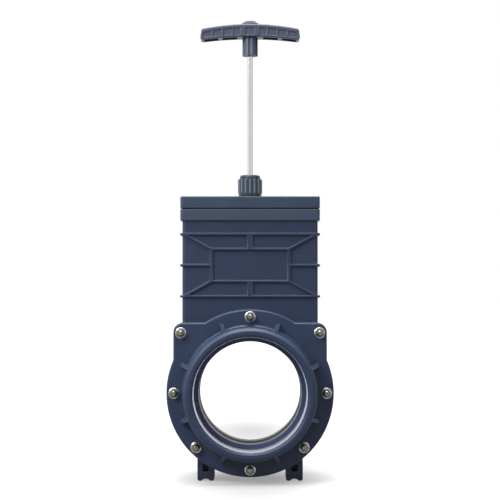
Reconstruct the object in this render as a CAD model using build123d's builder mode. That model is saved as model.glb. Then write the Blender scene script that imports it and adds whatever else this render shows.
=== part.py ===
from build123d import *
import math
import os

# Slide gate drain valve for a 110 mm pipe, in millimetres. The pipe runs along Y and the gate
# slides along Z in the plane Y = 0. The origin is on the floor, midway between the two feet.

# Pipe sockets and waterway
pipe_bore = 110.0
socket_depth = 40.0
socket_wall = 9.3
shoulder_step = 4.5
waterway_length = 66.0
mouth_bevel = 3.0
mouth_lead_in = 2.6
hub_draft = 1.0
hub_base_round = 1.5

# Bolted flanges with their square ears
flange_width = 17.5
flange_thickness = 12.0
flange_edge = 1.2
floor_clearance = 4.9
ear_setback = 6.7
ear_drop = 13.0
ear_corner = 9.4
gasket_thickness = 1.5
gasket_setback = 2.0

# Bolts
bolt_edge = 7.3
bolt_angles = (0, 90, 180, 225, 270, 315)
ear_bolt_drop = 10.0
bolt_hole_diameter = 5.5

# Gussets between a hub and its flange
gusset_count = 8
gusset_width = 4.0
gusset_reach = 8.9
gusset_height = 20.0
gusset_end_height = 4.0

# Middle body: ring, chamber, collar and stiffening ribs
body_depth = 47.0
body_flange_thickness = 7.0
ring_groove = 10.0
chamber_depth = 40.0
chamber_corner = 3.0
chamber_wall = 4.5
chamber_side_wall = 5.3
floor_wall = 2.5
rail_root = 5.1
boss_in_cap = 1.3
collar_height = 11.3
collar_overhang = 2.1
rib_thickness = 2.4
rib_height = 2.2
upper_rib_drop = 13.5
rib_span = 61.4
frame_margin = 14.8
frame_side_margin = 28.6
frame_rib_width = 3.2
centre_rib_width = 6.0

# Gate and its guides
gate_lap = 5.0
gate_thickness = 6.0
open_clearance = 0.5
boss_clearance = 5.0
boss_width = 22.0
boss_depth = 14.0
boss_height = 10.0
boss_corner = 3.5
rod_seat_depth = 8.0
guide_clearance = 0.6
guide_side_clearance = 1.0
guide_lap = 3.0
guide_wall = 3.5

# Gate seals
seal_width = 7.0
seal_depth = 10.0
seal_lip = 1.0
seal_clearance = 0.3
seal_groove_count = 2
seal_groove_side = 1.3
spigot_clearance = 0.5

# Feet
foot_spacing = 87.1
foot_width = 16.5
foot_setback = 1.5
foot_pad_height = 5.8
foot_pocket_width = 6.0
foot_pocket_height = 6.7
foot_pocket_lift = 3.5
foot_pocket_depth = 14.0
toe_round = 2.0
notch_width = 8.8
notch_height = 2.0

# Cap and packing gland
cap_height = 11.7
cap_gasket_thickness = 1.0
cap_roof = 4.5
cap_edge = 0.8
neck_diameter = 17.0
neck_height = 14.0
packing_diameter = 12.0
packing_pocket_depth = 8.0
packing_height = 6.0
packing_clearance = 0.1
nut_lift = 1.0
nut_gap = 1.3
nut_roof = 6.7
nut_diameter = 23.0
nut_top_diameter = 20.6
nut_skirt_height = 2.7
nut_crown_height = 4.1
nut_top_edge = 1.5
nut_thread_clearance = 0.2
grip_rib_count = 16
grip_rib_width = 1.7
grip_rib_height = 0.6

# Rod and handle
rod_diameter = 6.0
rod_clearance = 0.3
rod_seal_clearance = 0.15
rod_fit = 0.05
rod_end_gap = 2.3
handle_clearance = 12.8
grip_boss_diameter = 15.4
grip_boss_height = 18.4
flute_count = 6
flute_radius = 3.2
flute_depth = 1.1
grip_height = 12.9
grip_depth = 22.0
grip_bottom_half = 50.1
grip_end_lean = 1.5
grip_top_sag = 4.9
grip_bottom_sag = 3.4
grip_corner_round = 2.8
grip_edge_round = 1.6
grip_wall = 3.2
grip_core_half = 12.9
cross_rib_x = 29.7
cross_rib_width = 4.2
panel_recess = 0.7
panel_border = 1.8
panel_top_border = 3.6
panel_rib_start = 17.3
panel_rib_pitch = 10.1
panel_rib_count = 3
panel_rib_width = 1.4
panel_core_half = 9.4
plaque_half = 4.6
plug_diameter = 19.4
plug_top_diameter = 9.2
plug_rim_height = 0.8
plug_height = 3.8
plug_stem_diameter = 11.0
plug_stem_length = 5.0
plug_fit = 0.1

# Radii and widths worked out from the sizes above
hub_radius = pipe_bore / 2 + socket_wall
waterway_radius = pipe_bore / 2 - shoulder_step
flange_radius = hub_radius + flange_width
ear_half_width = flange_radius - ear_setback
ear_height = flange_radius - ear_drop
bolt_circle_radius = flange_radius - bolt_edge
gasket_radius = bolt_circle_radius - bolt_hole_diameter / 2 - gasket_setback
seal_radius = waterway_radius + seal_width
ring_bore = seal_radius + spigot_clearance
gate_radius = waterway_radius + gate_lap
slot_half_width = gate_radius + guide_side_clearance
cavity_half_width = slot_half_width + rail_root
chamber_width = 2 * (cavity_half_width + chamber_side_wall)
cavity_depth = chamber_depth - 2 * chamber_wall
collar_width = chamber_width + 2 * collar_overhang
collar_depth = chamber_depth + 2 * collar_overhang
ribbed_width = chamber_width + 2 * rib_height
ribbed_depth = chamber_depth + 2 * rib_height
foot_depth = body_depth - 2 * foot_setback
grip_top_half = grip_bottom_half - grip_end_lean

# Places along the pipe, measured from the plane of the gate
body_face = body_depth / 2
flange_back = body_face + gasket_thickness
flange_front = flange_back + flange_thickness
shoulder = waterway_length / 2
mouth = shoulder + socket_depth
seal_face = gate_thickness / 2 + seal_clearance
seal_back = seal_face + seal_depth

# Heights above the floor
axis_height = flange_radius + floor_clearance
chamber_base = axis_height + ear_height / 2
cavity_floor = axis_height + ring_bore + floor_wall
gate_travel = waterway_radius + gate_radius + open_clearance
gate_centre = axis_height + gate_travel
gate_boss_base = cavity_floor + boss_clearance + gate_travel
gate_boss_top = gate_boss_base + boss_height
collar_top = gate_boss_top - boss_in_cap
collar_base = collar_top - collar_height
upper_rib = collar_base - upper_rib_drop
lower_rib = upper_rib - rib_span
cap_base = collar_top + cap_gasket_thickness
cap_top = cap_base + cap_height
neck_top = cap_top + neck_height
packing_floor = neck_top - packing_pocket_depth
packing_top = packing_floor + packing_height
nut_base = cap_top + nut_lift
nut_ceiling = neck_top + nut_gap
nut_top = nut_ceiling + nut_roof
grip_boss_base = nut_top + gate_travel + handle_clearance
grip_bottom = grip_boss_base + grip_boss_height
grip_top = grip_bottom + grip_height
rod_base = gate_boss_top - rod_seat_depth
rod_top = grip_top - plug_stem_length - rod_end_gap

bolt_points = []
for angle in map(math.radians, bolt_angles):
    x = bolt_circle_radius * math.cos(angle)
    z = axis_height + bolt_circle_radius * math.sin(angle)
    bolt_points.append((x, z))
for side in (-1, 1):
    bolt_points.append((side * (ear_half_width - bolt_edge), axis_height + ear_height - ear_bolt_drop))
bore_axis = Axis((0, 0, axis_height), (0, 1, 0))


def flange_outline(inset):
    """Round flange with two square ears above the axis, drawn in the sketch that is open."""
    with Locations((0, axis_height)):
        Circle(flange_radius - inset)
    with Locations((0, axis_height + (ear_height - inset) / 2)):
        RectangleRounded(2 * (ear_half_width - inset), ear_height - inset, ear_corner)


def bolt_holes():
    """Through holes for all eight bolts, cut in the part that is open."""
    with BuildSketch(Plane.XZ) as holes:
        with Locations(*bolt_points):
            Circle(bolt_hole_diameter / 2)
    extrude(holes.sketch, amount=mouth, both=True, mode=Mode.SUBTRACT)


def ring_section(*corners):
    """Closed section given as (y, radius) corners, drawn in the open sketch on the plane X = 0."""
    with BuildLine() as section:
        Polyline(*[(y, axis_height + radius) for y, radius in corners], close=True)
    make_face(section.edges())


# Gussets: eight short webs that taper from the hub down to the flange
with BuildPart() as gussets:
    with BuildSketch(Plane.XZ.offset(flange_front)):
        with Locations((0, axis_height)):
            with PolarLocations(hub_radius, gusset_count, start_angle=180 / gusset_count):
                SlotCenterToCenter(2 * gusset_reach - gusset_width, gusset_width)
    extrude(amount=gusset_height)
    with BuildSketch(Plane.YZ):
        ring_section(
            (-flange_front, 0),
            (-flange_front, hub_radius + gusset_reach),
            (-flange_front - gusset_end_height, hub_radius + gusset_reach),
            (-flange_front - gusset_height, hub_radius),
            (-flange_front - gusset_height, 0),
        )
    revolve(axis=bore_axis, mode=Mode.INTERSECT)

# Hub flange: plate with ears, pipe socket on the outside and spigot on the inside
with BuildPart() as front_hub_flange:
    with BuildSketch(Plane.XZ.offset(flange_back)):
        flange_outline(0)
    extrude(amount=flange_thickness)
    chamfer(front_hub_flange.faces().sort_by(Axis.Y)[0].edges(), flange_edge)
    with BuildSketch(Plane.YZ):
        ring_section(
            (-seal_back, 0),
            (-seal_back, seal_radius),
            (-flange_back, seal_radius),
            (-flange_back, hub_radius + hub_draft),
            (-flange_front, hub_radius + hub_draft + hub_base_round),
            (-flange_front - hub_base_round, hub_radius + hub_draft),
            (-mouth + mouth_bevel, hub_radius),
            (-mouth, hub_radius - mouth_bevel),
            (-mouth, 0),
        )
    revolve(axis=bore_axis)
    add(gussets.part)
    with BuildSketch(Plane.YZ):
        ring_section(
            (0, 0),
            (0, waterway_radius),
            (-shoulder, waterway_radius),
            (-shoulder, pipe_bore / 2),
            (-mouth + mouth_lead_in, pipe_bore / 2),
            (-mouth, pipe_bore / 2 + mouth_lead_in),
            (-mouth, 0),
        )
    revolve(axis=bore_axis, mode=Mode.SUBTRACT)
    bolt_holes()
front_hub_flange.part.label = "front_hub_flange"

with BuildPart() as back_hub_flange:
    mirror(front_hub_flange.part, about=Plane.XZ)
back_hub_flange.part.label = "back_hub_flange"

# Flange gasket: flat ring between the ring bore and the bolts
with BuildPart() as front_flange_gasket:
    with BuildSketch(Plane.XZ.offset(body_face)):
        with Locations((0, axis_height)):
            Circle(gasket_radius)
            Circle(ring_bore, mode=Mode.SUBTRACT)
    extrude(amount=gasket_thickness)
front_flange_gasket.part.label = "front_flange_gasket"

with BuildPart() as back_flange_gasket:
    mirror(front_flange_gasket.part, about=Plane.XZ)
back_flange_gasket.part.label = "back_flange_gasket"

# Gate seal: rubber ring bonded to the spigot, with sharp grooves round its bore
with BuildPart() as front_gate_seal:
    with BuildSketch(Plane.YZ):
        ring_section(
            (-seal_face, waterway_radius),
            (-seal_face, seal_radius - seal_lip),
            (-seal_face - seal_lip, seal_radius),
            (-seal_back, seal_radius),
            (-seal_back, waterway_radius),
        )
        groove_pitch = seal_depth / (seal_groove_count + 1)
        for step in range(seal_groove_count):
            with Locations((-seal_face - (step + 1) * groove_pitch, axis_height + waterway_radius)):
                Rectangle(seal_groove_side, seal_groove_side, rotation=45, mode=Mode.SUBTRACT)
    revolve(axis=bore_axis)
front_gate_seal.part.label = "front_gate_seal"

with BuildPart() as back_gate_seal:
    mirror(front_gate_seal.part, about=Plane.XZ)
back_gate_seal.part.label = "back_gate_seal"

# Middle body
guide_slot = gate_thickness + 2 * guide_clearance
rail_width = cavity_half_width - gate_radius + guide_lap
frame_middle = (upper_rib + lower_rib) / 2
frame_half_height = rib_span / 2 - frame_margin
frame_half_width = chamber_width / 2 - frame_side_margin
with BuildPart() as body:
    # Ring between its two mating flanges, with a boss round each bolt
    with BuildSketch(Plane.XZ):
        flange_outline(ring_groove)
        with Locations(*bolt_points):
            Circle(bolt_edge)
    extrude(amount=body_face - body_flange_thickness / 2, both=True)
    for side in (-1, 1):
        with BuildSketch(Plane.XZ.offset(side * body_face)):
            flange_outline(0)
        extrude(amount=-side * body_flange_thickness)
    # Chamber, collar and the ribs that run round the whole chamber
    with BuildSketch(Plane.XY.offset(chamber_base)):
        RectangleRounded(chamber_width, chamber_depth, chamber_corner)
    extrude(amount=collar_base - chamber_base)
    with BuildSketch(Plane.XY.offset(collar_base)):
        RectangleRounded(collar_width, collar_depth, chamber_corner)
    extrude(amount=collar_height)
    for level in (upper_rib, lower_rib):
        with BuildSketch(Plane.XY.offset(level - rib_thickness / 2)):
            RectangleRounded(ribbed_width, ribbed_depth, chamber_corner)
        extrude(amount=rib_thickness)
    # Ribs on the two broad faces: frame, centre ribs and diagonals
    corner_x = (chamber_width - chamber_corner) / 2
    with BuildSketch(Plane.XZ):
        with Locations((0, frame_middle)):
            Rectangle(2 * frame_half_width + frame_rib_width, 2 * frame_half_height + rib_thickness)
            Rectangle(
                2 * frame_half_width - frame_rib_width,
                2 * frame_half_height - rib_thickness,
                mode=Mode.SUBTRACT,
            )
        for up in (-1, 1):
            with Locations((0, frame_middle + up * (rib_span / 2 - frame_margin / 2))):
                Rectangle(centre_rib_width, frame_margin)
            for side in (-1, 1):
                inner = (side * frame_half_width, frame_middle + up * frame_half_height)
                outer = (side * corner_x, frame_middle + up * rib_span / 2)
                rise = math.degrees(math.atan2(outer[1] - inner[1], outer[0] - inner[0]))
                with Locations(((inner[0] + outer[0]) / 2, (inner[1] + outer[1]) / 2)):
                    Rectangle(math.dist(inner, outer), rib_thickness, rotation=rise)
    extrude(amount=ribbed_depth / 2, both=True)
    # Side ribs from the frame round the narrow faces
    with BuildSketch(Plane.XY.offset(frame_middle - rib_thickness / 2)):
        RectangleRounded(ribbed_width, ribbed_depth, chamber_corner)
        Rectangle(2 * frame_half_width, ribbed_depth, mode=Mode.SUBTRACT)
    extrude(amount=rib_thickness)
    # Feet under the ring, each with a pocket in its front and back
    for side in (-1, 1):
        with BuildSketch(Plane.XY.offset(foot_pad_height)):
            with Locations((side * foot_spacing / 2, 0)):
                Rectangle(foot_width, foot_depth)
        extrude(amount=axis_height - foot_spacing / 2 - foot_pad_height)
        pocket_middle = foot_pad_height + foot_pocket_lift + foot_pocket_height / 2
        for face in (-1, 1):
            with BuildSketch(Plane.XZ.offset(face * foot_depth / 2)):
                with Locations((side * foot_spacing / 2, pocket_middle)):
                    Rectangle(foot_pocket_width, foot_pocket_height)
            extrude(amount=-face * foot_pocket_depth, mode=Mode.SUBTRACT)
    # Hollow inside: ring bore, gate slot and chamber cavity, with the guide rails left standing
    with BuildSketch(Plane.XZ):
        with Locations((0, axis_height)):
            Circle(ring_bore)
    extrude(amount=body_depth, both=True, mode=Mode.SUBTRACT)
    with BuildSketch(Plane.XY.offset(axis_height)):
        Rectangle(2 * slot_half_width, guide_slot)
    extrude(amount=collar_top - axis_height, mode=Mode.SUBTRACT)
    with BuildSketch(Plane.XY.offset(cavity_floor)):
        Rectangle(2 * cavity_half_width, cavity_depth)
        for side in (-1, 1):
            with Locations((side * (cavity_half_width - rail_width / 2), 0)):
                Rectangle(rail_width, guide_slot + 2 * guide_wall, mode=Mode.SUBTRACT)
    extrude(amount=collar_top - cavity_floor, mode=Mode.SUBTRACT)
    bolt_holes()
body.part.label = "body"

# Foot pads: rubber shoes with two toes and a half-round notch between them
notch_radius = ((notch_width / 2) ** 2 + notch_height**2) / (2 * notch_height)
pads = {}
for side, name in ((-1, "left_foot_pad"), (1, "right_foot_pad")):
    with BuildPart() as pad:
        with BuildSketch(Plane.XZ):
            with Locations((side * foot_spacing / 2, foot_pad_height / 2)):
                Rectangle(foot_width, foot_pad_height)
            with Locations((side * foot_spacing / 2, notch_height - notch_radius)):
                Circle(notch_radius, mode=Mode.SUBTRACT)
        extrude(amount=foot_depth / 2, both=True)
        toes = pad.edges().filter_by(Axis.Y).group_by(Axis.Z)[0].sort_by(Axis.X)
        fillet([toes[0], toes[-1]], toe_round)
    pad.part.label = name
    pads[name] = pad

# Cap gasket and cap with its threaded neck
with BuildPart() as cap_gasket:
    with BuildSketch(Plane.XY.offset(collar_top)):
        RectangleRounded(chamber_width, chamber_depth, chamber_corner)
        Rectangle(2 * cavity_half_width, cavity_depth, mode=Mode.SUBTRACT)
    extrude(amount=cap_gasket_thickness)
cap_gasket.part.label = "cap_gasket"

with BuildPart() as cap:
    with BuildSketch(Plane.XY.offset(cap_base)):
        RectangleRounded(collar_width, collar_depth, chamber_corner)
    extrude(amount=cap_height)
    chamfer(cap.faces().sort_by(Axis.Z)[-1].edges(), cap_edge)
    with BuildSketch(Plane.XY.offset(cap_base)):
        Rectangle(2 * cavity_half_width, cavity_depth)
    extrude(amount=cap_height - cap_roof, mode=Mode.SUBTRACT)
    with BuildSketch(Plane.XY.offset(cap_top)):
        Circle(neck_diameter / 2)
    extrude(amount=neck_height)
    with BuildSketch(Plane.XY.offset(cap_base)):
        Circle(rod_diameter / 2 + rod_clearance)
    extrude(amount=cap_height + neck_height, mode=Mode.SUBTRACT)
    with BuildSketch(Plane.XY.offset(packing_floor)):
        Circle(packing_diameter / 2)
    extrude(amount=packing_pocket_depth, mode=Mode.SUBTRACT)
cap.part.label = "cap"

# Packing ring in the neck, the follower that presses it and the gland nut over both
with BuildPart() as gland_packing:
    with BuildSketch(Plane.XY.offset(packing_floor)):
        Circle(packing_diameter / 2 - packing_clearance)
        Circle(rod_diameter / 2 + rod_seal_clearance, mode=Mode.SUBTRACT)
    extrude(amount=packing_height)
gland_packing.part.label = "gland_packing"

with BuildPart() as gland_follower:
    with BuildSketch(Plane.XY.offset(packing_top)):
        Circle(packing_diameter / 2 - packing_clearance)
        Circle(rod_diameter / 2 + rod_clearance, mode=Mode.SUBTRACT)
    extrude(amount=nut_ceiling - packing_top)
gland_follower.part.label = "gland_follower"

crown_base = nut_top - nut_crown_height
with BuildPart() as gland_nut:
    with BuildSketch(Plane.XY.offset(nut_base)):
        Circle(nut_diameter / 2)
    extrude(amount=crown_base - nut_base)
    with BuildSketch(Plane.XY.offset(crown_base)):
        Circle(nut_top_diameter / 2)
    extrude(amount=nut_crown_height)
    chamfer(gland_nut.faces().sort_by(Axis.Z)[-1].edges(), nut_top_edge)
    with BuildSketch(Plane.XY.offset(nut_base + nut_skirt_height)):
        with PolarLocations(nut_diameter / 2, grip_rib_count):
            Rectangle(2 * grip_rib_height, grip_rib_width)
    extrude(amount=crown_base - nut_base - nut_skirt_height)
    with BuildSketch(Plane.XY.offset(nut_base)):
        Circle(neck_diameter / 2 + nut_thread_clearance)
    extrude(amount=nut_ceiling - nut_base, mode=Mode.SUBTRACT)
    with BuildSketch(Plane.XY.offset(nut_base)):
        Circle(rod_diameter / 2 + rod_clearance)
    extrude(amount=nut_top - nut_base, mode=Mode.SUBTRACT)
gland_nut.part.label = "gland_nut"

# Gate: half-round plate with a boss for the rod on its top edge
with BuildPart() as gate:
    with BuildSketch(Plane.XZ):
        with Locations((0, gate_centre)):
            Circle(gate_radius)
        with Locations((0, (gate_centre + gate_boss_base) / 2)):
            Rectangle(2 * gate_radius, gate_boss_base - gate_centre)
    extrude(amount=gate_thickness / 2, both=True)
    with BuildSketch(Plane.XY.offset(gate_boss_base)):
        RectangleRounded(boss_width, boss_depth, boss_corner)
    extrude(amount=boss_height)
    with BuildSketch(Plane.XY.offset(rod_base)):
        Circle(rod_diameter / 2 + rod_fit)
    extrude(amount=rod_seat_depth, mode=Mode.SUBTRACT)
gate.part.label = "gate"

# Rod: plain round bar from the gate up into the handle
with BuildPart() as rod:
    with BuildSketch(Plane.XY.offset(rod_base)):
        Circle(rod_diameter / 2)
    extrude(amount=rod_top - rod_base)
rod.part.label = "rod"


def grip_face(top_inset, bottom_inset, end_inset, mode):
    """Arched outline of the grip, drawn in the open sketch and drawn in by the insets."""
    top = grip_top - top_inset
    bottom = grip_bottom + bottom_inset
    top_half = grip_top_half - end_inset
    bottom_half = grip_bottom_half - end_inset
    with BuildLine() as outline:
        upper = ThreePointArc(
            (-top_half, top - grip_top_sag), (0, top), (top_half, top - grip_top_sag)
        )
        lower = ThreePointArc(
            (-bottom_half, bottom - grip_bottom_sag), (0, bottom), (bottom_half, bottom - grip_bottom_sag)
        )
        Line(upper @ 0, lower @ 0)
        Line(upper @ 1, lower @ 1)
    make_face(outline.edges(), mode=mode)


# Handle: arched grip, open below in four pockets, with panelled faces and a fluted boss
with BuildPart() as handle:
    with BuildSketch(Plane.XZ):
        grip_face(0, 0, 0, Mode.ADD)
    extrude(amount=grip_depth / 2, both=True)
    fillet(handle.edges().filter_by(Axis.Y), grip_corner_round)
    upper_edges = handle.faces().sort_by(Axis.Z)[-1].edges()
    fillet(upper_edges, grip_edge_round)
    with BuildSketch(Plane.XY.offset(grip_boss_base)):
        Circle(grip_boss_diameter / 2)
        with PolarLocations(
            grip_boss_diameter / 2 + flute_radius - flute_depth, flute_count, start_angle=90
        ):
            Circle(flute_radius, mode=Mode.SUBTRACT)
    extrude(amount=grip_boss_height + grip_height / 2)
    # Pockets between the core, the cross ribs and the end walls
    middle = grip_bottom + grip_height / 2
    tall = 3 * grip_height
    inner_pocket = (grip_core_half, cross_rib_x - cross_rib_width / 2)
    outer_pocket = (cross_rib_x + cross_rib_width / 2, grip_bottom_half)
    with BuildSketch(Plane.XZ):
        for side in (-1, 1):
            for start, end in (inner_pocket, outer_pocket):
                with Locations((side * (start + end) / 2, middle)):
                    Rectangle(end - start, tall)
        grip_face(grip_wall, -grip_height, grip_wall, Mode.INTERSECT)
    extrude(amount=grip_depth / 2 - grip_wall, both=True, mode=Mode.SUBTRACT)
    # Recessed panels and plaque on the front and back faces
    with BuildSketch(Plane.XZ, mode=Mode.PRIVATE) as panels:
        with Locations((0, middle)):
            Rectangle(2 * grip_bottom_half, tall)
            Rectangle(2 * panel_core_half, tall, mode=Mode.SUBTRACT)
            Rectangle(2 * plaque_half, tall)
        for side in (-1, 1):
            for number in range(panel_rib_count):
                with Locations((side * (panel_rib_start + number * panel_rib_pitch), middle)):
                    Rectangle(panel_rib_width, tall, mode=Mode.SUBTRACT)
        grip_face(panel_top_border, panel_border, panel_border, Mode.INTERSECT)
    for face in (-1, 1):
        extrude(
            panels.sketch.moved(Location((0, face * (grip_depth / 2), 0))),
            amount=panel_recess,
            both=True,
            mode=Mode.SUBTRACT,
        )
    # Hole for the rod, open to the seat of the plug
    with BuildSketch(Plane.XY.offset(grip_boss_base)):
        Circle(rod_diameter / 2 + rod_fit)
    extrude(amount=rod_top + rod_end_gap - grip_boss_base, mode=Mode.SUBTRACT)
    with BuildSketch(Plane.XY.offset(grip_top)):
        Circle(plug_stem_diameter / 2 + plug_fit)
    extrude(amount=-plug_stem_length, mode=Mode.SUBTRACT)
handle.part.label = "handle"

# Plug: shallow cone over the rod's end, with a stem that fills the hole
with BuildPart() as handle_plug:
    with BuildSketch(Plane.XZ):
        with BuildLine():
            Polyline(
                (0, grip_top - plug_stem_length),
                (plug_stem_diameter / 2, grip_top - plug_stem_length),
                (plug_stem_diameter / 2, grip_top),
                (plug_diameter / 2, grip_top),
                (plug_diameter / 2, grip_top + plug_rim_height),
                (plug_top_diameter / 2, grip_top + plug_height),
                (0, grip_top + plug_height),
                close=True,
            )
        make_face()
    revolve(axis=Axis.Z)
handle_plug.part.label = "handle_plug"

os.makedirs("parts", exist_ok=True)
export_step(body.part, "parts/body.step")
export_step(front_hub_flange.part, "parts/front_hub_flange.step")
export_step(back_hub_flange.part, "parts/back_hub_flange.step")
export_step(front_flange_gasket.part, "parts/front_flange_gasket.step")
export_step(back_flange_gasket.part, "parts/back_flange_gasket.step")
export_step(front_gate_seal.part, "parts/front_gate_seal.step")
export_step(back_gate_seal.part, "parts/back_gate_seal.step")
for name, pad in pads.items():
    export_step(pad.part, f"parts/{name}.step")
export_step(cap_gasket.part, "parts/cap_gasket.step")
export_step(cap.part, "parts/cap.step")
export_step(gland_packing.part, "parts/gland_packing.step")
export_step(gland_follower.part, "parts/gland_follower.step")
export_step(gland_nut.part, "parts/gland_nut.step")
export_step(gate.part, "parts/gate.step")
export_step(rod.part, "parts/rod.step")
export_step(handle.part, "parts/handle.step")
export_step(handle_plug.part, "parts/handle_plug.step")
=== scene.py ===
import math
import random

import bmesh
import bpy
from mathutils import Matrix, Vector


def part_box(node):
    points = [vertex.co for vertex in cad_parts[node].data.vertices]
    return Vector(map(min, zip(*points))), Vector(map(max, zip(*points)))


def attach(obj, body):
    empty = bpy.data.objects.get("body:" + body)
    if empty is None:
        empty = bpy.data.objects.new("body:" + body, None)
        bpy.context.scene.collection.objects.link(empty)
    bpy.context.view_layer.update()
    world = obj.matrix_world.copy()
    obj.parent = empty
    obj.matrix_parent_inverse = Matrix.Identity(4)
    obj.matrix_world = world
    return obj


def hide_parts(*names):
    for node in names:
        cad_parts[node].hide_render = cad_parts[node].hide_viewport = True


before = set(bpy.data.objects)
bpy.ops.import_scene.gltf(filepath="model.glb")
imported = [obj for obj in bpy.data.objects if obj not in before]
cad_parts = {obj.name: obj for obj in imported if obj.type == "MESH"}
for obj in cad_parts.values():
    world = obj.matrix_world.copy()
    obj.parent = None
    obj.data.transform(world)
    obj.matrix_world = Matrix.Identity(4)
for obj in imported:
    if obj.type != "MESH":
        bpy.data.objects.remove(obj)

scene = bpy.context.scene
scene.view_settings.view_transform = "Standard"

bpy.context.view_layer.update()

# Camera. The valve is seen straight on from in front, at the height of its chamber and pitched up
# a little. The lens and the distance give the photograph's perspective through the bore.
camera_offset = -0.0001
camera_distance = 1.773
camera_height = 0.1811
camera_pitch = 1.5
camera_data = bpy.data.cameras.new("camera")
camera_data.lens = 127.9
camera_data.sensor_width = 36.0
camera = bpy.data.objects.new("camera", camera_data)
camera.location = (camera_offset, -camera_distance, camera_height)
camera.rotation_euler = (math.radians(90 + camera_pitch), 0, 0)
scene.collection.objects.link(camera)
scene.camera = camera

# Middle body. The real one is a single moulding of grey-blue plastic: the ring, the gate chamber
# with its stiffening ribs, the collar and the two feet. It comes out of a fine-etched mould with
# all outer edges slightly rounded, and the same plastic serves the flanges and the cap.


def add_node(tree, kind, inputs=(), **settings):
    """Adds a shader node to a tree, with its properties and the values of its input sockets."""
    made = tree.nodes.new("ShaderNode" + kind)
    for name, value in settings.items():
        setattr(made, name, value)
    for name, value in dict(inputs).items():
        if isinstance(value, bpy.types.NodeSocket):
            tree.links.new(value, made.inputs[name])
        else:
            made.inputs[name].default_value = value
    return made


def maths(tree, operation, *values, **settings):
    """The result of one sum on values or sockets."""
    made = add_node(tree, "Math", dict(enumerate(values)), operation=operation, **settings)
    return made.outputs["Value"]


def vector_maths(tree, operation, *vectors):
    """The result of one sum on vectors: a value for a length or a dot product, else a vector."""
    made = add_node(tree, "VectorMath", dict(enumerate(vectors)), operation=operation)
    return made.outputs["Value" if operation in ("LENGTH", "DOT_PRODUCT") else "Vector"]


def map_range(tree, value, start, end, low=0.0, high=1.0, **settings):
    """Turns a value that goes from start to end into one that goes from low to high."""
    limits = {"Value": value, "From Min": start, "From Max": end, "To Min": low, "To Max": high}
    return add_node(tree, "MapRange", limits, **settings).outputs["Result"]


def mixed(tree, factor, first, second, kind="RGBA", way="MIX"):
    """The colour between two others, by a factor or mask; or a value, where kind is FLOAT."""
    ends = {"Factor": factor, "A": first, "B": second}
    return add_node(tree, "Mix", ends, data_type=kind, blend_type=way).outputs["Result"]


def new_group(name, inputs, outputs):
    """Starts a shader node group with named sockets; gives back its tree and its two end nodes."""
    tree = bpy.data.node_groups.new(name, "ShaderNodeTree")
    for socket, kind, value in inputs:
        made = tree.interface.new_socket(socket, in_out="INPUT", socket_type="NodeSocket" + kind)
        if value is not None:
            made.default_value = value
    for socket, kind in outputs:
        tree.interface.new_socket(socket, in_out="OUTPUT", socket_type="NodeSocket" + kind)
    return tree, tree.nodes.new("NodeGroupInput").outputs, tree.nodes.new("NodeGroupOutput").inputs


def use_group(tree, group, **inputs):
    """Places a node group in a material's tree with its own values."""
    made = tree.nodes.new("ShaderNodeGroup")
    made.node_tree = group
    for name, value in inputs.items():
        socket = made.inputs[name.replace("_", " ")]
        if isinstance(value, bpy.types.NodeSocket):
            tree.links.new(value, socket)
        else:
            socket.default_value = value
    return made.outputs


def new_material(name):
    """Starts a node material; gives back its tree, its shader and Object coordinates too."""
    material = bpy.data.materials.new(name)
    material.use_nodes = True
    tree = material.node_tree
    shader = tree.nodes["Principled BSDF"]
    place = add_node(tree, "TexCoord").outputs["Object"]
    return material, tree, shader, place


def linear(red, green, blue):
    """Linear colour of a paint shade given in eight-bit steps."""
    brightest = 255
    gamma = 2.2
    return tuple((value / brightest) ** gamma for value in (red, green, blue)) + (1.0,)


# Cloudy tone: slow colour drift in the melt, with faint flow lines
cloud_tree, cloud_in, cloud_out = new_group(
    "melt clouds",
    [("Vector", "Vector", None), ("Size", "Float", 30.0)],
    [("Tone", "Float")],
)
flow_scale = 420.0
flow_share = 0.35
broad = add_node(
    cloud_tree,
    "TexNoise",
    {"Vector": cloud_in["Vector"], "Scale": cloud_in["Size"], "Detail": 3.0},
)
fine = add_node(
    cloud_tree,
    "TexNoise",
    {"Vector": cloud_in["Vector"], "Scale": flow_scale, "Detail": 2.0, "Roughness": 0.6},
)
tone = mixed(cloud_tree, flow_share, broad.outputs["Fac"], fine.outputs["Fac"], kind="FLOAT")
cloud_tree.links.new(tone, cloud_out["Tone"])

# Etched texture: the even fine roughness that a mould leaves
etch_tree, etch_in, etch_out = new_group(
    "mould etching",
    [("Vector", "Vector", None), ("Grain", "Float", 2600.0)],
    [("Height", "Float")],
)
etch = add_node(
    etch_tree,
    "TexNoise",
    {"Vector": etch_in["Vector"], "Scale": etch_in["Grain"], "Detail": 2.0},
)
etch_tree.links.new(etch.outputs["Fac"], etch_out["Height"])

# Pale specks: a few flecks of dust and moulding flash, at random places
speck_tree, speck_in, speck_out = new_group(
    "pale specks",
    [("Vector", "Vector", None), ("Spacing", "Float", 90.0), ("Share", "Float", 0.06)],
    [("Mask", "Float")],
)
speck_core = 0.035
speck_rim = 0.06
cells = add_node(
    speck_tree,
    "TexVoronoi",
    {"Vector": speck_in["Vector"], "Scale": speck_in["Spacing"], "Randomness": 1.0},
)
near = map_range(
    speck_tree, cells.outputs["Distance"], start=speck_core, end=speck_rim, low=1.0, high=0.0
)
pick = add_node(speck_tree, "SeparateColor", {"Color": cells.outputs["Color"]})
chosen = maths(speck_tree, "LESS_THAN", pick.outputs["Red"], speck_in["Share"])
speck_tree.links.new(maths(speck_tree, "MULTIPLY", near, chosen), speck_out["Mask"])

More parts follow.
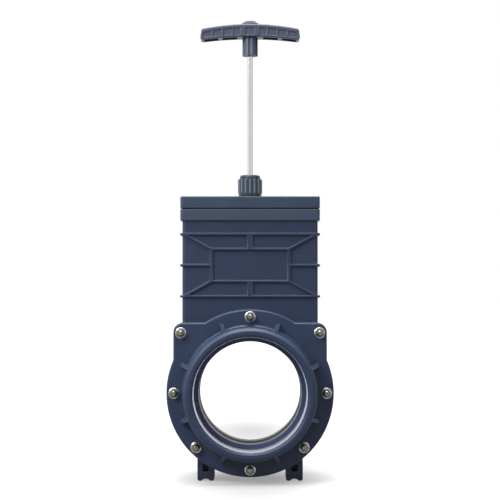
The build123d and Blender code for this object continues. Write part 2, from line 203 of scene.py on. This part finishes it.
# Edges: a mask of where the corners are and their soft normal; the mask lays a paler tone on them,
# partly rubbed wear and partly a painted highlight
edge_tree, edge_in, edge_out = new_group(
    "moulded edges",
    [("Radius", "Float", 0.0009), ("Reach", "Float", 3.0)],
    [("Normal", "Vector"), ("Mask", "Float")],
)
rounded = add_node(edge_tree, "Bevel", {"Radius": edge_in["Radius"]}, samples=6).outputs["Normal"]
flat = add_node(edge_tree, "NewGeometry").outputs["True Normal"]
likeness = vector_maths(edge_tree, "DOT_PRODUCT", rounded, flat)
turned_away = maths(edge_tree, "SUBTRACT", 1.0, likeness)
corner = maths(edge_tree, "MULTIPLY", turned_away, edge_in["Reach"], use_clamp=True)
edge_tree.links.new(rounded, edge_out["Normal"])
edge_tree.links.new(corner, edge_out["Mask"])

# Upper band: a mask of all that lies above a height, where another tone is laid
band_tree, band_in, band_out = new_group(
    "upper band",
    [("Vector", "Vector", None), ("Height", "Float", 0.0)],
    [("Mask", "Float")],
)
band_parts = add_node(band_tree, "SeparateXYZ", {"Vector": band_in["Vector"]})
above = maths(band_tree, "GREATER_THAN", band_parts.outputs["Z"], band_in["Height"])
band_tree.links.new(above, band_out["Mask"])

# Socket wall: a mask of the pipe sockets' insides, where a pale, mostly metallic finish is laid as
# a painted reflection
bore_tree, bore_in, bore_out = new_group(
    "socket wall",
    [
        ("Vector", "Vector", None),
        ("Axis Height", "Float", 0.0),
        ("Radius", "Float", 0.0),
        ("Shoulder", "Float", 0.0),
    ],
    [("Mask", "Float")],
)
bore_parts = add_node(bore_tree, "SeparateXYZ", {"Vector": bore_in["Vector"]})
rise = maths(bore_tree, "SUBTRACT", bore_parts.outputs["Z"], bore_in["Axis Height"])
across = add_node(bore_tree, "CombineXYZ", {"X": bore_parts.outputs["X"], "Z": rise})
from_axis = vector_maths(bore_tree, "LENGTH", across.outputs["Vector"])
inside = maths(bore_tree, "LESS_THAN", from_axis, bore_in["Radius"])
depth = maths(bore_tree, "ABSOLUTE", bore_parts.outputs["Y"])
beyond = maths(bore_tree, "GREATER_THAN", depth, bore_in["Shoulder"])
bore_tree.links.new(maths(bore_tree, "MULTIPLY", inside, beyond), bore_out["Mask"])


def moulded_plastic(
    name, dark, light, edge, roughness, edge_radius=0.0009, band=None, socket=None
):
    """Moulded plastic: a clouded ground between two tones, paler edges (partly rubbed wear, partly
    a painted highlight), etched surface.

    band gives a height and the tone above it; socket gives the axis height, radius, shoulder,
    colour, roughness and metallic share of a pipe socket's inside, laid there as a painted
    reflection.
    """
    dust = linear(150, 165, 190)
    gloss_drift = 0.05
    etch_depth = 0.00002
    material, tree, shader, place = new_material(name)
    clouds = use_group(tree, cloud_tree, Vector=place)
    edges = use_group(tree, edge_tree, Radius=edge_radius)
    specks = use_group(tree, speck_tree, Vector=place)
    height = use_group(tree, etch_tree, Vector=place)["Height"]
    ground = map_range(tree, clouds["Tone"], start=0.32, end=0.68)
    colour = mixed(tree, ground, dark, light)
    if band:
        band_height, band_tone = band
        upper = use_group(tree, band_tree, Vector=place, Height=band_height)
        colour = mixed(tree, upper["Mask"], colour, band_tone)
    # Paler edges: partly rubbed wear, partly a painted highlight of the light that the corners
    # catch
    colour = mixed(tree, edges["Mask"], colour, edge)
    colour = mixed(tree, specks["Mask"], colour, dust)
    gloss = map_range(
        tree,
        clouds["Tone"],
        start=0.3,
        end=0.7,
        low=roughness - gloss_drift,
        high=roughness + gloss_drift,
    )
    # Painted reflection: the socket's inside takes a pale colour and a metallic share in place of
    # the white room that it mirrors
    if socket:
        painted_reflection = use_group(
            tree,
            bore_tree,
            Vector=place,
            Axis_Height=socket["axis_height"],
            Radius=socket["radius"],
            Shoulder=socket["shoulder"],
        )["Mask"]
        colour = mixed(tree, painted_reflection, colour, socket["colour"])
        gloss = mixed(tree, painted_reflection, gloss, socket["roughness"], kind="FLOAT")
        height = maths(tree, "MULTIPLY", height, maths(tree, "SUBTRACT", 1.0, painted_reflection))
        sheen = maths(tree, "MULTIPLY", painted_reflection, socket["metallic"])
        tree.links.new(sheen, shader.inputs["Metallic"])
    bump = add_node(
        tree,
        "Bump",
        {"Height": height, "Distance": etch_depth, "Strength": 0.6, "Normal": edges["Normal"]},
    )
    tree.links.new(colour, shader.inputs["Base Color"])
    tree.links.new(gloss, shader.inputs["Roughness"])
    tree.links.new(bump.outputs["Normal"], shader.inputs["Normal"])
    return material


def finish_piece(name, bm, material, body, smooth_angle=35):
    """Makes an object of a finished bmesh, at the origin, and lets it ride on its body."""
    mesh = bpy.data.meshes.new(name)
    bm.to_mesh(mesh)
    bm.free()
    if "custom_normal" in mesh.attributes:
        mesh.attributes.remove(mesh.attributes["custom_normal"])
    mesh.polygons.foreach_set("use_smooth", [True] * len(mesh.polygons))
    mesh.set_sharp_from_angle(angle=math.radians(smooth_angle))
    mesh.materials.clear()
    mesh.materials.append(material)
    piece = bpy.data.objects.new(name, mesh)
    scene.collection.objects.link(piece)
    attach(piece, body)
    return piece


merge_distance = 1e-6


def rounded_moulding(name, node, edge_round, material, body, clamp=False, shows=None):
    """A merged copy of a CAD node with its outer edges rounded; it stands for the node.

    shows tells from an edge's middle whether that edge is rounded; without it all of them are.
    """
    flat_angle = math.radians(0.5)
    corner_angle = math.radians(35)
    bm = bmesh.new()
    bm.from_mesh(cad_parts[node].data)
    bmesh.ops.remove_doubles(bm, verts=bm.verts, dist=merge_distance)
    bmesh.ops.dissolve_limit(bm, angle_limit=flat_angle, verts=bm.verts, edges=bm.edges)
    outer = [
        edge
        for edge in bm.edges
        if edge.is_manifold and edge.calc_face_angle_signed() > corner_angle
    ]
    if shows:
        outer = [edge for edge in outer if shows((edge.verts[0].co + edge.verts[1].co) / 2)]
    bmesh.ops.bevel(
        bm,
        geom=outer,
        affect="EDGES",
        offset=edge_round,
        offset_type="OFFSET",
        segments=2,
        profile=0.5,
        material=-1,
        clamp_overlap=clamp,
    )
    piece = finish_piece(name, bm, material, body, smooth_angle=40)
    weighted = piece.modifiers.new("weighted", "WEIGHTED_NORMAL")
    weighted.keep_sharp = True
    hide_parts(node)
    return piece


def dress(node, material):
    """Gives a CAD node its material."""
    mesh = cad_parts[node].data
    mesh.materials.clear()
    mesh.materials.append(material)


collar_height = 0.0114
ring_top = 0.158
groove_face = 0.0172
chamber_inside = 0.0565
foot_sole = 0.0165
collar_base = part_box("cap_gasket")[0].z - collar_height
# Painted light: the collar, above collar_base, is painted lighter than the chamber, as the light
# from above falls on it
housing_plastic = moulded_plastic(
    "housing_plastic",
    dark=linear(42, 54, 79),
    light=linear(48, 61, 87),
    edge=linear(88, 102, 128),
    roughness=0.40,
    band=(collar_base, linear(63, 75, 96)),
)


def on_the_outside(middle):
    """True for an edge outside the ring's groove and the chamber, and above the feet's soles."""
    beside = middle.z > ring_top and abs(middle.x) > chamber_inside
    return middle.z > foot_sole and (abs(middle.y) > groove_face or beside)


rounded_moulding(
    "body_moulding",
    "body",
    edge_round=0.0006,
    material=housing_plastic,
    body="housing",
    shows=on_the_outside,
)

# Hub flanges. Each is one moulding of the same plastic: a plate with two square ears, a 110 mm
# pipe socket with a bevelled mouth, eight gussets, and inside a spigot that carries the seal.
# They are bolted to the two faces of the body.
flange_low, flange_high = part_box("front_hub_flange")
axis_height = (flange_low.z + flange_high.z) / 2
flange_radius = (flange_high.x - flange_low.x) / 2
socket_radius = 0.0550
shoulder_depth = 0.0330
mask_margin = 0.0003
flange_plastic = moulded_plastic(
    "flange_plastic",
    dark=linear(44, 57, 84),
    light=linear(51, 65, 93),
    edge=linear(72, 85, 110),
    roughness=0.40,
    # The socket's pale colour and metallic share are a painted reflection
    socket={
        "axis_height": axis_height,
        "radius": socket_radius + mask_margin,
        "shoulder": shoulder_depth + mask_margin,
        "colour": linear(232, 235, 245),
        "roughness": 0.38,
        "metallic": 0.9,
    },
)
for side in ("front", "back"):
    rounded_moulding(
        side + "_hub_moulding",
        side + "_hub_flange",
        edge_round=0.0005,
        material=flange_plastic,
        body="housing",
    )

# Flange gaskets and gate seals. Black rubber: flat rings between the bolted faces, and thick
# grooved rings bonded to the spigots, which wipe the gate as it slides.


def scaled(colour, factor):
    """A colour made lighter or darker by a factor."""
    return tuple(factor * value for value in colour[:3]) + (1.0,)


def black_rubber(name, shade):
    """Dull black rubber with a dusty bloom."""
    bloom_gain = 2.2
    grain_depth = 0.00004
    material, tree, shader, place = new_material(name)
    clouds = use_group(tree, cloud_tree, Vector=place, Size=60.0)
    etched = use_group(tree, etch_tree, Vector=place, Grain=1800.0)
    bloom = mixed(tree, clouds["Tone"], shade, scaled(shade, bloom_gain))
    relief = {"Height": etched["Height"], "Distance": grain_depth, "Strength": 0.7}
    bump = add_node(tree, "Bump", relief)
    tree.links.new(bloom, shader.inputs["Base Color"])
    tree.links.new(bump.outputs["Normal"], shader.inputs["Normal"])
    shader.inputs["Roughness"].default_value = 0.5
    return material


seal_rubber = black_rubber("seal_rubber", linear(16, 18, 24))
for node in ("front_flange_gasket", "back_flange_gasket", "front_gate_seal", "back_gate_seal"):
    dress(node, seal_rubber)

# Gate. A plain half-round plate of the same family of plastic, with a boss that takes the rod.
# It slides between rails in the chamber and is drawn up out of the waterway.
gate_plastic = moulded_plastic(
    "gate_plastic",
    dark=linear(50, 60, 78),
    light=linear(58, 68, 88),
    edge=linear(86, 98, 122),
    roughness=0.38,
)
dress("gate", gate_plastic)

# Flange bolts. Stainless M5 bolts with pressed hexagon heads pass from the back flange through the
# body, and their rolled thread stands out of the nut in front. Only the top one is two short
# pieces, a stud in front and a screw behind, because the gate slides down between them.
flange_thickness = 0.012
bolt_edge = 0.0073
ear_bolt_drop = 0.010
ear_setback = 0.0067
ear_drop = 0.0130
front_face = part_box("front_flange_gasket")[0].y - flange_thickness
back_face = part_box("back_flange_gasket")[1].y + flange_thickness
bolt_angles = (0, 90, 180, 225, 270, 315)
bolt_circle = flange_radius - bolt_edge
bolt_places = []
for angle in bolt_angles:
    turn = math.radians(angle)
    bolt_places.append((bolt_circle * math.cos(turn), axis_height + bolt_circle * math.sin(turn)))
for side in (-1, 1):
    ear_x = flange_radius - ear_setback - bolt_edge
    bolt_places.append((side * ear_x, axis_height + flange_radius - ear_drop - ear_bolt_drop))
all_bolts = range(len(bolt_places))
random.seed(11)
bolt_turns = [random.uniform(0, math.tau) for number in all_bolts]
top_bolt = 1
long_bolts = [number for number in all_bolts if number != top_bolt]


def lathe(outline, steps=40):
    """A closed mesh turned about Z from an outline of (radius, height) points."""
    bm = bmesh.new()
    points = [bm.verts.new((radius, 0, height)) for radius, height in outline]
    chain = [bm.edges.new((points[i - 1], points[i])) for i in range(1, len(points))]
    bmesh.ops.spin(
        bm,
        geom=points + chain,
        axis=(0, 0, 1),
        cent=(0, 0, 0),
        angle=math.tau,
        steps=steps,
        use_merge=True,
    )
    bmesh.ops.remove_doubles(bm, verts=bm.verts, dist=merge_distance)
    bmesh.ops.recalc_face_normals(bm, faces=bm.faces)
    return bm


def hexagon(across_flats, height):
    """A hexagon blank standing on Z = 0 with its top corners turned down to a chamfer."""
    chamfer = math.radians(30)
    chamfer_radius = 0.47 * across_flats
    cuts = 24
    bm = bmesh.new()
    bmesh.ops.create_cone(
        bm,
        cap_ends=True,
        segments=6,
        radius1=across_flats / math.sqrt(3),
        radius2=across_flats / math.sqrt(3),
        depth=height,
        matrix=Matrix.Translation((0, 0, height / 2)),
    )
    for step in range(cuts):
        around = math.tau * step / cuts
        out = Vector((math.cos(around), math.sin(around), 0))
        cut = bmesh.ops.bisect_plane(
            bm,
            geom=bm.verts[:] + bm.edges[:] + bm.faces[:],
            plane_co=out * chamfer_radius + Vector((0, 0, height)),
            plane_no=out * math.sin(chamfer) + Vector((0, 0, math.cos(chamfer))),
            clear_outer=True,
        )
        rim = [part for part in cut["geom_cut"] if isinstance(part, bmesh.types.BMEdge)]
        if rim:
            bmesh.ops.contextual_create(bm, geom=rim)
    bmesh.ops.remove_doubles(bm, verts=bm.verts, dist=merge_distance)
    bmesh.ops.recalc_face_normals(bm, faces=bm.faces)
    return bm


def bolt_copies(name, blank, face_y, outward, material, at=all_bolts):
    """Joins copies of a blank, stood on a face at each bolt or at some of them, into one piece."""
    blank_mesh = bpy.data.meshes.new(name + "_blank")
    blank.to_mesh(blank_mesh)
    blank.free()
    bm = bmesh.new()
    for number in at:
        (x, z), turn = bolt_places[number], bolt_turns[number]
        before = len(bm.verts)
        bm.from_mesh(blank_mesh)
        bm.verts.ensure_lookup_table()
        lay = Matrix.Rotation(math.radians(-90 * outward), 4, "X")
        place = Matrix.Translation((x, face_y, z)) @ lay @ Matrix.Rotation(turn, 4, "Z")
        bmesh.ops.transform(bm, matrix=place, verts=bm.verts[before:])
    bpy.data.meshes.remove(blank_mesh)
    return finish_piece(name, bm, material, "housing")


def stainless(name, colour, roughness, marks_scale, marks_stretch=(1, 1, 1)):
    """Bare stainless steel with fine working marks and a little dulling."""
    dulling = 0.78
    smoothest = 0.6 * roughness
    roughest = 1.5 * roughness
    material, tree, shader, place = new_material(name)
    stretched = add_node(tree, "Mapping", {"Vector": place, "Scale": marks_stretch})
    marks = add_node(
        tree,
        "TexNoise",
        {"Vector": stretched.outputs["Vector"], "Scale": marks_scale, "Detail": 4.0},
    )
    clouds = use_group(tree, cloud_tree, Vector=place, Size=120.0)
    tint = mixed(tree, clouds["Tone"], colour, scaled(colour, dulling))
    gloss = map_range(
        tree, marks.outputs["Fac"], start=0.0, end=1.0, low=smoothest, high=roughest
    )
    tree.links.new(tint, shader.inputs["Base Color"])
    tree.links.new(gloss, shader.inputs["Roughness"])
    shader.inputs["Metallic"].default_value = 1.0
    return material


shank = 0.0025
thread_pitch = 0.0008
thread_depth = 0.0004
bolt_out = 0.0012
head_flats = 0.008
head_height = 0.0035
washer_thickness = 0.0010
lock_nut_height = 0.0050
chamber_wall_face = 0.0160
screw_chamfer = 0.0005
bolt_steel = stainless("bolt_steel", linear(184, 180, 164), 0.2, marks_scale=900.0)
bolt_tip = front_face - washer_thickness - lock_nut_height - bolt_out
under_head = back_face + washer_thickness
screw_length = under_head - chamber_wall_face


def threaded_shank(length):
    """A round shank of a length from its foot, with a rolled thread and a dimpled end."""
    plain_end = 0.0012
    end_chamfer = 0.0006
    end_step = 0.0001
    dimple_rim = 0.0009
    dimple_floor = 0.0006
    dimple_depth = 0.0004
    outline = [(0, 0), (shank, 0)]
    height = length - flange_thickness - washer_thickness - lock_nut_height - bolt_out
    while height < length - plain_end:
        outline.append((shank, height))
        outline.append((shank - thread_depth, height + thread_pitch / 2))
        height += thread_pitch
    outline += [
        (shank - end_step, length - end_chamfer),
        (shank - end_step - end_chamfer, length),
        (dimple_rim, length),
        (dimple_floor, length - dimple_depth),
        (0, length - dimple_depth),
    ]
    return lathe(outline, steps=24)


long_shank = threaded_shank(under_head - bolt_tip)
bolt_copies("bolt_shanks", long_shank, under_head, -1, bolt_steel, at=long_bolts)
stud = threaded_shank(-chamber_wall_face - bolt_tip)
bolt_copies("top_stud", stud, -chamber_wall_face, -1, bolt_steel, at=[top_bolt])
screw_outline = [
    (0, 0),
    (shank, 0),
    (shank, screw_length - screw_chamfer),
    (shank - screw_chamfer, screw_length),
    (0, screw_length),
]
screw = lathe(screw_outline)
bolt_copies("top_screw", screw, under_head, -1, bolt_steel, at=[top_bolt])
bolt_copies("bolt_heads", hexagon(head_flats, head_height), under_head, 1, bolt_steel)

# Bolt washers. Flat stainless rings stamped from sheet, so their upper edge is rolled down a
# little. One lies under each nut in front and one under each bolt head at the back.
washer_bore = 0.0027
washer_radius = 0.0054
washer_outline = [(washer_bore, 0), (washer_radius, 0)]

# The rolled edge: how far in from the rim it reaches each share of the thickness
rolled_edge = ((0.0, 0.45), (0.0003, 0.72), (0.0008, 0.88), (0.0015, 1.0))
for setback, share in rolled_edge:
    washer_outline.append((washer_radius - setback, share * washer_thickness))
washer_outline += [(washer_bore, washer_thickness), (washer_bore, 0)]
washer_steel = stainless("washer_steel", linear(214, 217, 222), 0.2, marks_scale=700.0)
bolt_copies("front_washers", lathe(washer_outline), front_face, -1, washer_steel)
bolt_copies("back_washers", lathe(washer_outline), back_face, 1, washer_steel)

# Lock nuts. Stainless hexagon nuts with a round rolled collar that grips a nylon ring, so that
# they stay put without crushing the plastic. The nylon ring shows round the bolt's end.
lock_nut_flats = 0.008
hexagon_height = 0.0037
collar_radius = 0.0036
collar_lip = 0.0030
collar_sink = 0.0005
collar_shoulder = 0.0007
collar_roll = 0.0003
collar_fall = 0.0001
insert_sink = 0.0006
insert_dish = 0.0009
under_nut = front_face - washer_thickness
nut_steel = stainless("nut_steel", linear(118, 115, 102), 0.26, marks_scale=800.0)
nut_blank = hexagon(lock_nut_flats, hexagon_height)
bolt_copies("lock_nuts", nut_blank, under_nut, -1, nut_steel)
collar_outline = [
    (collar_lip, hexagon_height - collar_sink),
    (collar_radius, hexagon_height - collar_sink),
    (collar_radius, lock_nut_height - collar_shoulder),
    (collar_radius - collar_roll, lock_nut_height - collar_fall),
    (collar_lip, lock_nut_height),
    (collar_lip, hexagon_height - collar_sink),
]
bolt_copies("nut_collars", lathe(collar_outline), under_nut, -1, bolt_steel)
nylon = black_rubber("nut_nylon", linear(44, 44, 42))
insert_outline = [
    (shank, hexagon_height),
    (collar_lip, hexagon_height),
    (collar_lip, lock_nut_height - insert_sink),
    (shank, lock_nut_height - insert_dish),
    (shank, hexagon_height),
]
bolt_copies("nut_inserts", lathe(insert_outline), under_nut, -1, nylon)

# Foot pads. Short rubber shoes pressed under the two moulded feet, with a half-round notch between
# their toes.
foot_rubber = black_rubber("foot_rubber", linear(32, 37, 47))
for side in ("left", "right"):
    rounded_moulding(
        side + "_foot_shoe",
        side + "_foot_pad",
        edge_round=0.0005,
        material=foot_rubber,
        body="housing",
        clamp=True,
    )

# Cap and its gasket. The cap is a shallow moulded lid pressed down on the collar, with a threaded
# neck for the gland. A thin black gasket lies in the joint and shows as a dark line.
# Painted light: the cap's copy of the body plastic is painted lighter, as the light from above
# falls on it
cap_plastic = moulded_plastic(
    "cap_plastic",
    dark=linear(54, 67, 86),
    light=linear(62, 75, 96),
    edge=linear(90, 103, 126),
    roughness=0.38,
)
rounded_moulding(
    "cap_moulding",
    "cap",
    edge_round=0.0005,
    material=cap_plastic,
    body="housing",
)
dress("cap_gasket", seal_rubber)

# Packing gland. A rubber ring round the rod is pressed down by a plastic follower and by the gland
# nut, a ribbed hand nut in a slightly greener and glossier plastic, screwed on the cap's neck.
hand_nut_low, hand_nut_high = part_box("gland_nut")
hand_nut_radius = (hand_nut_high.x - hand_nut_low.x) / 2
rib_rise = 0.0006
rib_flank = 0.4 * rib_rise
joint_foot = hand_nut_low.z + 0.0006
joint_top = hand_nut_low.z + 0.0012
nut_plastic = moulded_plastic(
    "nut_plastic",
    dark=linear(88, 105, 121),
    light=linear(108, 125, 141),
    edge=linear(196, 207, 218),
    roughness=0.24,
    edge_radius=0.0005,
)


def paint_over(material, mask, shade):
    """Lays a shade over a material's colour where a mask says."""
    tree = material.node_tree
    base = tree.nodes["Principled BSDF"].inputs["Base Color"]
    tree.links.new(mixed(tree, mask, base.links[0].from_socket, shade), base)


# Painted shade between the ribs, and a painted shadow in the joint under the nut
nut_shade_tree = nut_plastic.node_tree
nut_place = add_node(nut_shade_tree, "TexCoord").outputs["Object"]
nut_parts = add_node(nut_shade_tree, "SeparateXYZ", {"Vector": nut_place}).outputs
level = add_node(nut_shade_tree, "CombineXYZ", {"X": nut_parts["X"], "Y": nut_parts["Y"]})
from_rod = vector_maths(nut_shade_tree, "LENGTH", level.outputs["Vector"])
valley_shade = map_range(
    nut_shade_tree,
    from_rod,
    start=hand_nut_radius - rib_rise,
    end=hand_nut_radius - rib_flank,
    low=0.8,
    high=0.0,
)
joint_shadow = map_range(
    nut_shade_tree, nut_parts["Z"], start=joint_foot, end=joint_top, low=0.9, high=0.0
)
paint_over(nut_plastic, maths(nut_shade_tree, "MAXIMUM", valley_shade, joint_shadow), linear(20, 29, 38))
dress("gland_packing", seal_rubber)
dress("gland_follower", cap_plastic)
rounded_moulding(
    "gland_nut_moulding",
    "gland_nut",
    edge_round=0.0003,
    material=nut_plastic,
    body="housing",
)

# Rod. A drawn and polished stainless bar, screwed into the gate's boss below and fixed in the
# handle above. Its polish runs along it.
along_the_rod = (1, 1, 0.02)
rod_steel = stainless(
    "rod_steel", linear(243, 241, 238), 0.1, marks_scale=3000.0, marks_stretch=along_the_rod
)
dress("rod", rod_steel)

# Handle and plug. The handle is an arched hollow grip moulded in a paler plastic, open underneath,
# with panels on its faces and a fluted boss over the rod. A pressed-in plug covers the rod's end.
boss_height = 0.0184
handle_plastic = moulded_plastic(
    "handle_plastic",
    dark=linear(80, 86, 106),
    light=linear(88, 95, 115),
    edge=linear(112, 119, 140),
    roughness=0.42,
    edge_radius=0.0008,
    band=(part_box("handle")[0].z + boss_height, linear(76, 82, 101)),
)

# The up-facing top of the grip is painted paler: a painted highlight of the light from above
handle_top_tree = handle_plastic.node_tree
facing = add_node(handle_top_tree, "NewGeometry").outputs["Normal"]
facing_up = add_node(handle_top_tree, "SeparateXYZ", {"Vector": facing}).outputs["Z"]
painted_top_light = map_range(handle_top_tree, facing_up, start=0.1, end=0.7, low=0.0, high=0.4)
paint_over(handle_plastic, painted_top_light, linear(150, 156, 174))
dress("handle", handle_plastic)
plug_plastic = moulded_plastic(
    "plug_plastic",
    dark=linear(56, 60, 74),
    light=linear(64, 69, 84),
    edge=linear(104, 110, 128),
    roughness=0.4,
)
dress("handle_plug", plug_plastic)

# Floor, background and lights. A plain pale studio floor that runs into white, a soft box above
# and in front to the left, another overhead, and even light all round. The floor keeps the shadow.
floor_reach = 12.0
floor_mesh = bpy.data.meshes.new("floor")
bm = bmesh.new()
bmesh.ops.create_grid(bm, x_segments=1, y_segments=1, size=floor_reach)
bm.to_mesh(floor_mesh)
bm.free()
floor = bpy.data.objects.new("floor", floor_mesh)
scene.collection.objects.link(floor)
floor_material, floor_tree, floor_shader, floor_place = new_material("floor")
floor_mesh.materials.append(floor_material)
floor_shader.inputs["Roughness"].default_value = 1.0
floor_shader.inputs["Specular IOR Level"].default_value = 0.0


def grey(level):
    """A neutral colour of a level."""
    return (level, level, level, 1.0)


def mirrored_rays(tree, paths):
    """A mask of the rays that come by a reflection or through glass."""
    return maths(tree, "MAXIMUM", paths["Is Glossy Ray"], paths["Is Transmission Ray"])


# The paper is darker for the light that it throws back than for the camera
bounce_grey = grey(0.14)
paper_grey = grey(0.36)
floor_paths = add_node(floor_tree, "LightPath").outputs
seen_directly = floor_paths["Is Camera Ray"]
paper = mixed(floor_tree, seen_directly, bounce_grey, paper_grey)
floor_tree.links.new(paper, floor_shader.inputs["Base Color"])

# Its own glow runs into white away from the valve and is lower round it, so the real shadow shows
# there;
# a soft pool of painted shadow behind the valve takes the glow down further
whitening_stretch = (1.7, 0.4, 1.0)
whitening_start = 0.03
whitening_end = 0.24
glow_under_valve = 0.33
pool_centre = (0.0, 0.6, 0.0)
pool_stretch = (7.0, 2.0, 1.0)
painted_shadow_depth = 0.68
stretched = vector_maths(floor_tree, "MULTIPLY", floor_place, whitening_stretch)
whitening = map_range(
    floor_tree,
    vector_maths(floor_tree, "LENGTH", stretched),
    start=whitening_start,
    end=whitening_end,
    low=glow_under_valve,
    high=1.0,
    interpolation_type="SMOOTHSTEP",
)
from_pool = vector_maths(floor_tree, "SUBTRACT", floor_place, pool_centre)
pool = vector_maths(floor_tree, "MULTIPLY", from_pool, pool_stretch)
pool_shade = map_range(
    floor_tree,
    vector_maths(floor_tree, "LENGTH", pool),
    start=0.0,
    end=1.0,
    low=painted_shadow_depth,
    high=0.0,
    interpolation_type="SMOOTHSTEP",
)
left_over = maths(floor_tree, "SUBTRACT", 1.0, pool_shade)
floor_light = maths(floor_tree, "MULTIPLY", whitening, left_over)
camera_glow = maths(floor_tree, "MULTIPLY", seen_directly, floor_light)

# In reflections it is dark in front of the valve and bright behind
floor_parts = add_node(floor_tree, "SeparateXYZ", {"Vector": floor_place}).outputs
mirror_level = map_range(
    floor_tree, floor_parts["Y"], start=-0.2, end=0.4, low=0.15, high=0.9
)
in_mirrors = mirrored_rays(floor_tree, floor_paths)
glow = maths(floor_tree, "MULTIPLY_ADD", in_mirrors, mirror_level, camera_glow)
floor_shader.inputs["Emission Color"].default_value = grey(1.0)
floor_tree.links.new(glow, floor_shader.inputs["Emission Strength"])

# The room: even light that is stronger from above and behind, and for reflections a round of cards
# at the valve's height, with a dark gap where the camera stands, under a white ceiling
room = bpy.data.worlds.new("studio")
scene.world = room
room.use_nodes = True
room_tree = room.node_tree
room_paths = add_node(room_tree, "LightPath").outputs
direction = add_node(room_tree, "TexCoord").outputs["Generated"]
room_parts = add_node(room_tree, "SeparateXYZ", {"Vector": direction}).outputs


def level_ramp(fac, stops):
    """A grey ramp through (position, level) stops."""
    made = add_node(room_tree, "ValToRGB", {"Fac": fac})
    for position, level in stops[1:-1]:
        made.color_ramp.elements.new(position)
    for element, (position, level) in zip(made.color_ramp.elements, stops):
        element.position = position
        element.color = grey(level)
    return made.outputs["Color"]


azimuth = maths(room_tree, "ARCTAN2", room_parts["X"], room_parts["Y"])
round_the_room = map_range(room_tree, azimuth, start=-math.pi, end=math.pi)
cards = level_ramp(
    round_the_room,
    (
        (0.00, 0.55),
        (0.04, 0.62),
        (0.09, 0.85),
        (0.19, 0.95),
        (0.30, 1.00),
        (0.50, 1.10),
        (0.68, 1.10),
        (0.72, 0.30),
        (0.79, 0.28),
        (0.83, 1.00),
        (0.90, 1.10),
        (0.95, 0.65),
        (1.00, 0.55),
    ),
)
height_in_room = map_range(room_tree, room_parts["Z"], start=-1.0, end=1.0)
overhead = level_ramp(height_in_room, ((0.0, 0.0), (0.62, 0.0), (0.85, 1.0), (1.0, 1.0)))
ambient = level_ramp(height_in_room, ((0.0, 0.12), (0.5, 0.24), (0.7, 0.42), (1.0, 0.60)))
card_height = level_ramp(
    height_in_room,
    ((0.0, 0.3), (0.40, 0.3), (0.46, 1.0), (0.58, 1.0), (0.64, 0.35), (1.0, 0.35)),
)
from_behind = map_range(room_tree, room_parts["Y"], start=-0.3, end=0.4, low=0.0, high=0.45)
even_light = mixed(room_tree, 1.0, ambient, from_behind, way="ADD")
lit_cards = mixed(room_tree, 1.0, cards, card_height, way="MULTIPLY")
mirrored_room = mixed(room_tree, overhead, lit_cards, grey(1.0))
lit = mixed(room_tree, mirrored_rays(room_tree, room_paths), even_light, mirrored_room)
shown = mixed(room_tree, room_paths["Is Camera Ray"], lit, grey(1.0))
room_tree.links.new(shown, room_tree.nodes["Background"].inputs["Color"])


def soft_box(name, place, size, radiance):
    """A square studio softbox of a given radiance, turned to the valve's middle."""
    aim = Vector((0.0, 0.0, 0.2))
    data = bpy.data.lights.new(name, "AREA")
    data.shape = "SQUARE"
    data.size = size
    data.energy = radiance * math.pi * size * size
    box = bpy.data.objects.new(name, data)
    box.location = place
    box.rotation_euler = (Vector(place) - aim).to_track_quat("Z", "Y").to_euler()
    scene.collection.objects.link(box)


soft_box("key", (-0.75, -0.75, 0.85), size=0.5, radiance=13.0)
soft_box("top", (-0.05, -0.15, 1.25), size=0.8, radiance=5.5)
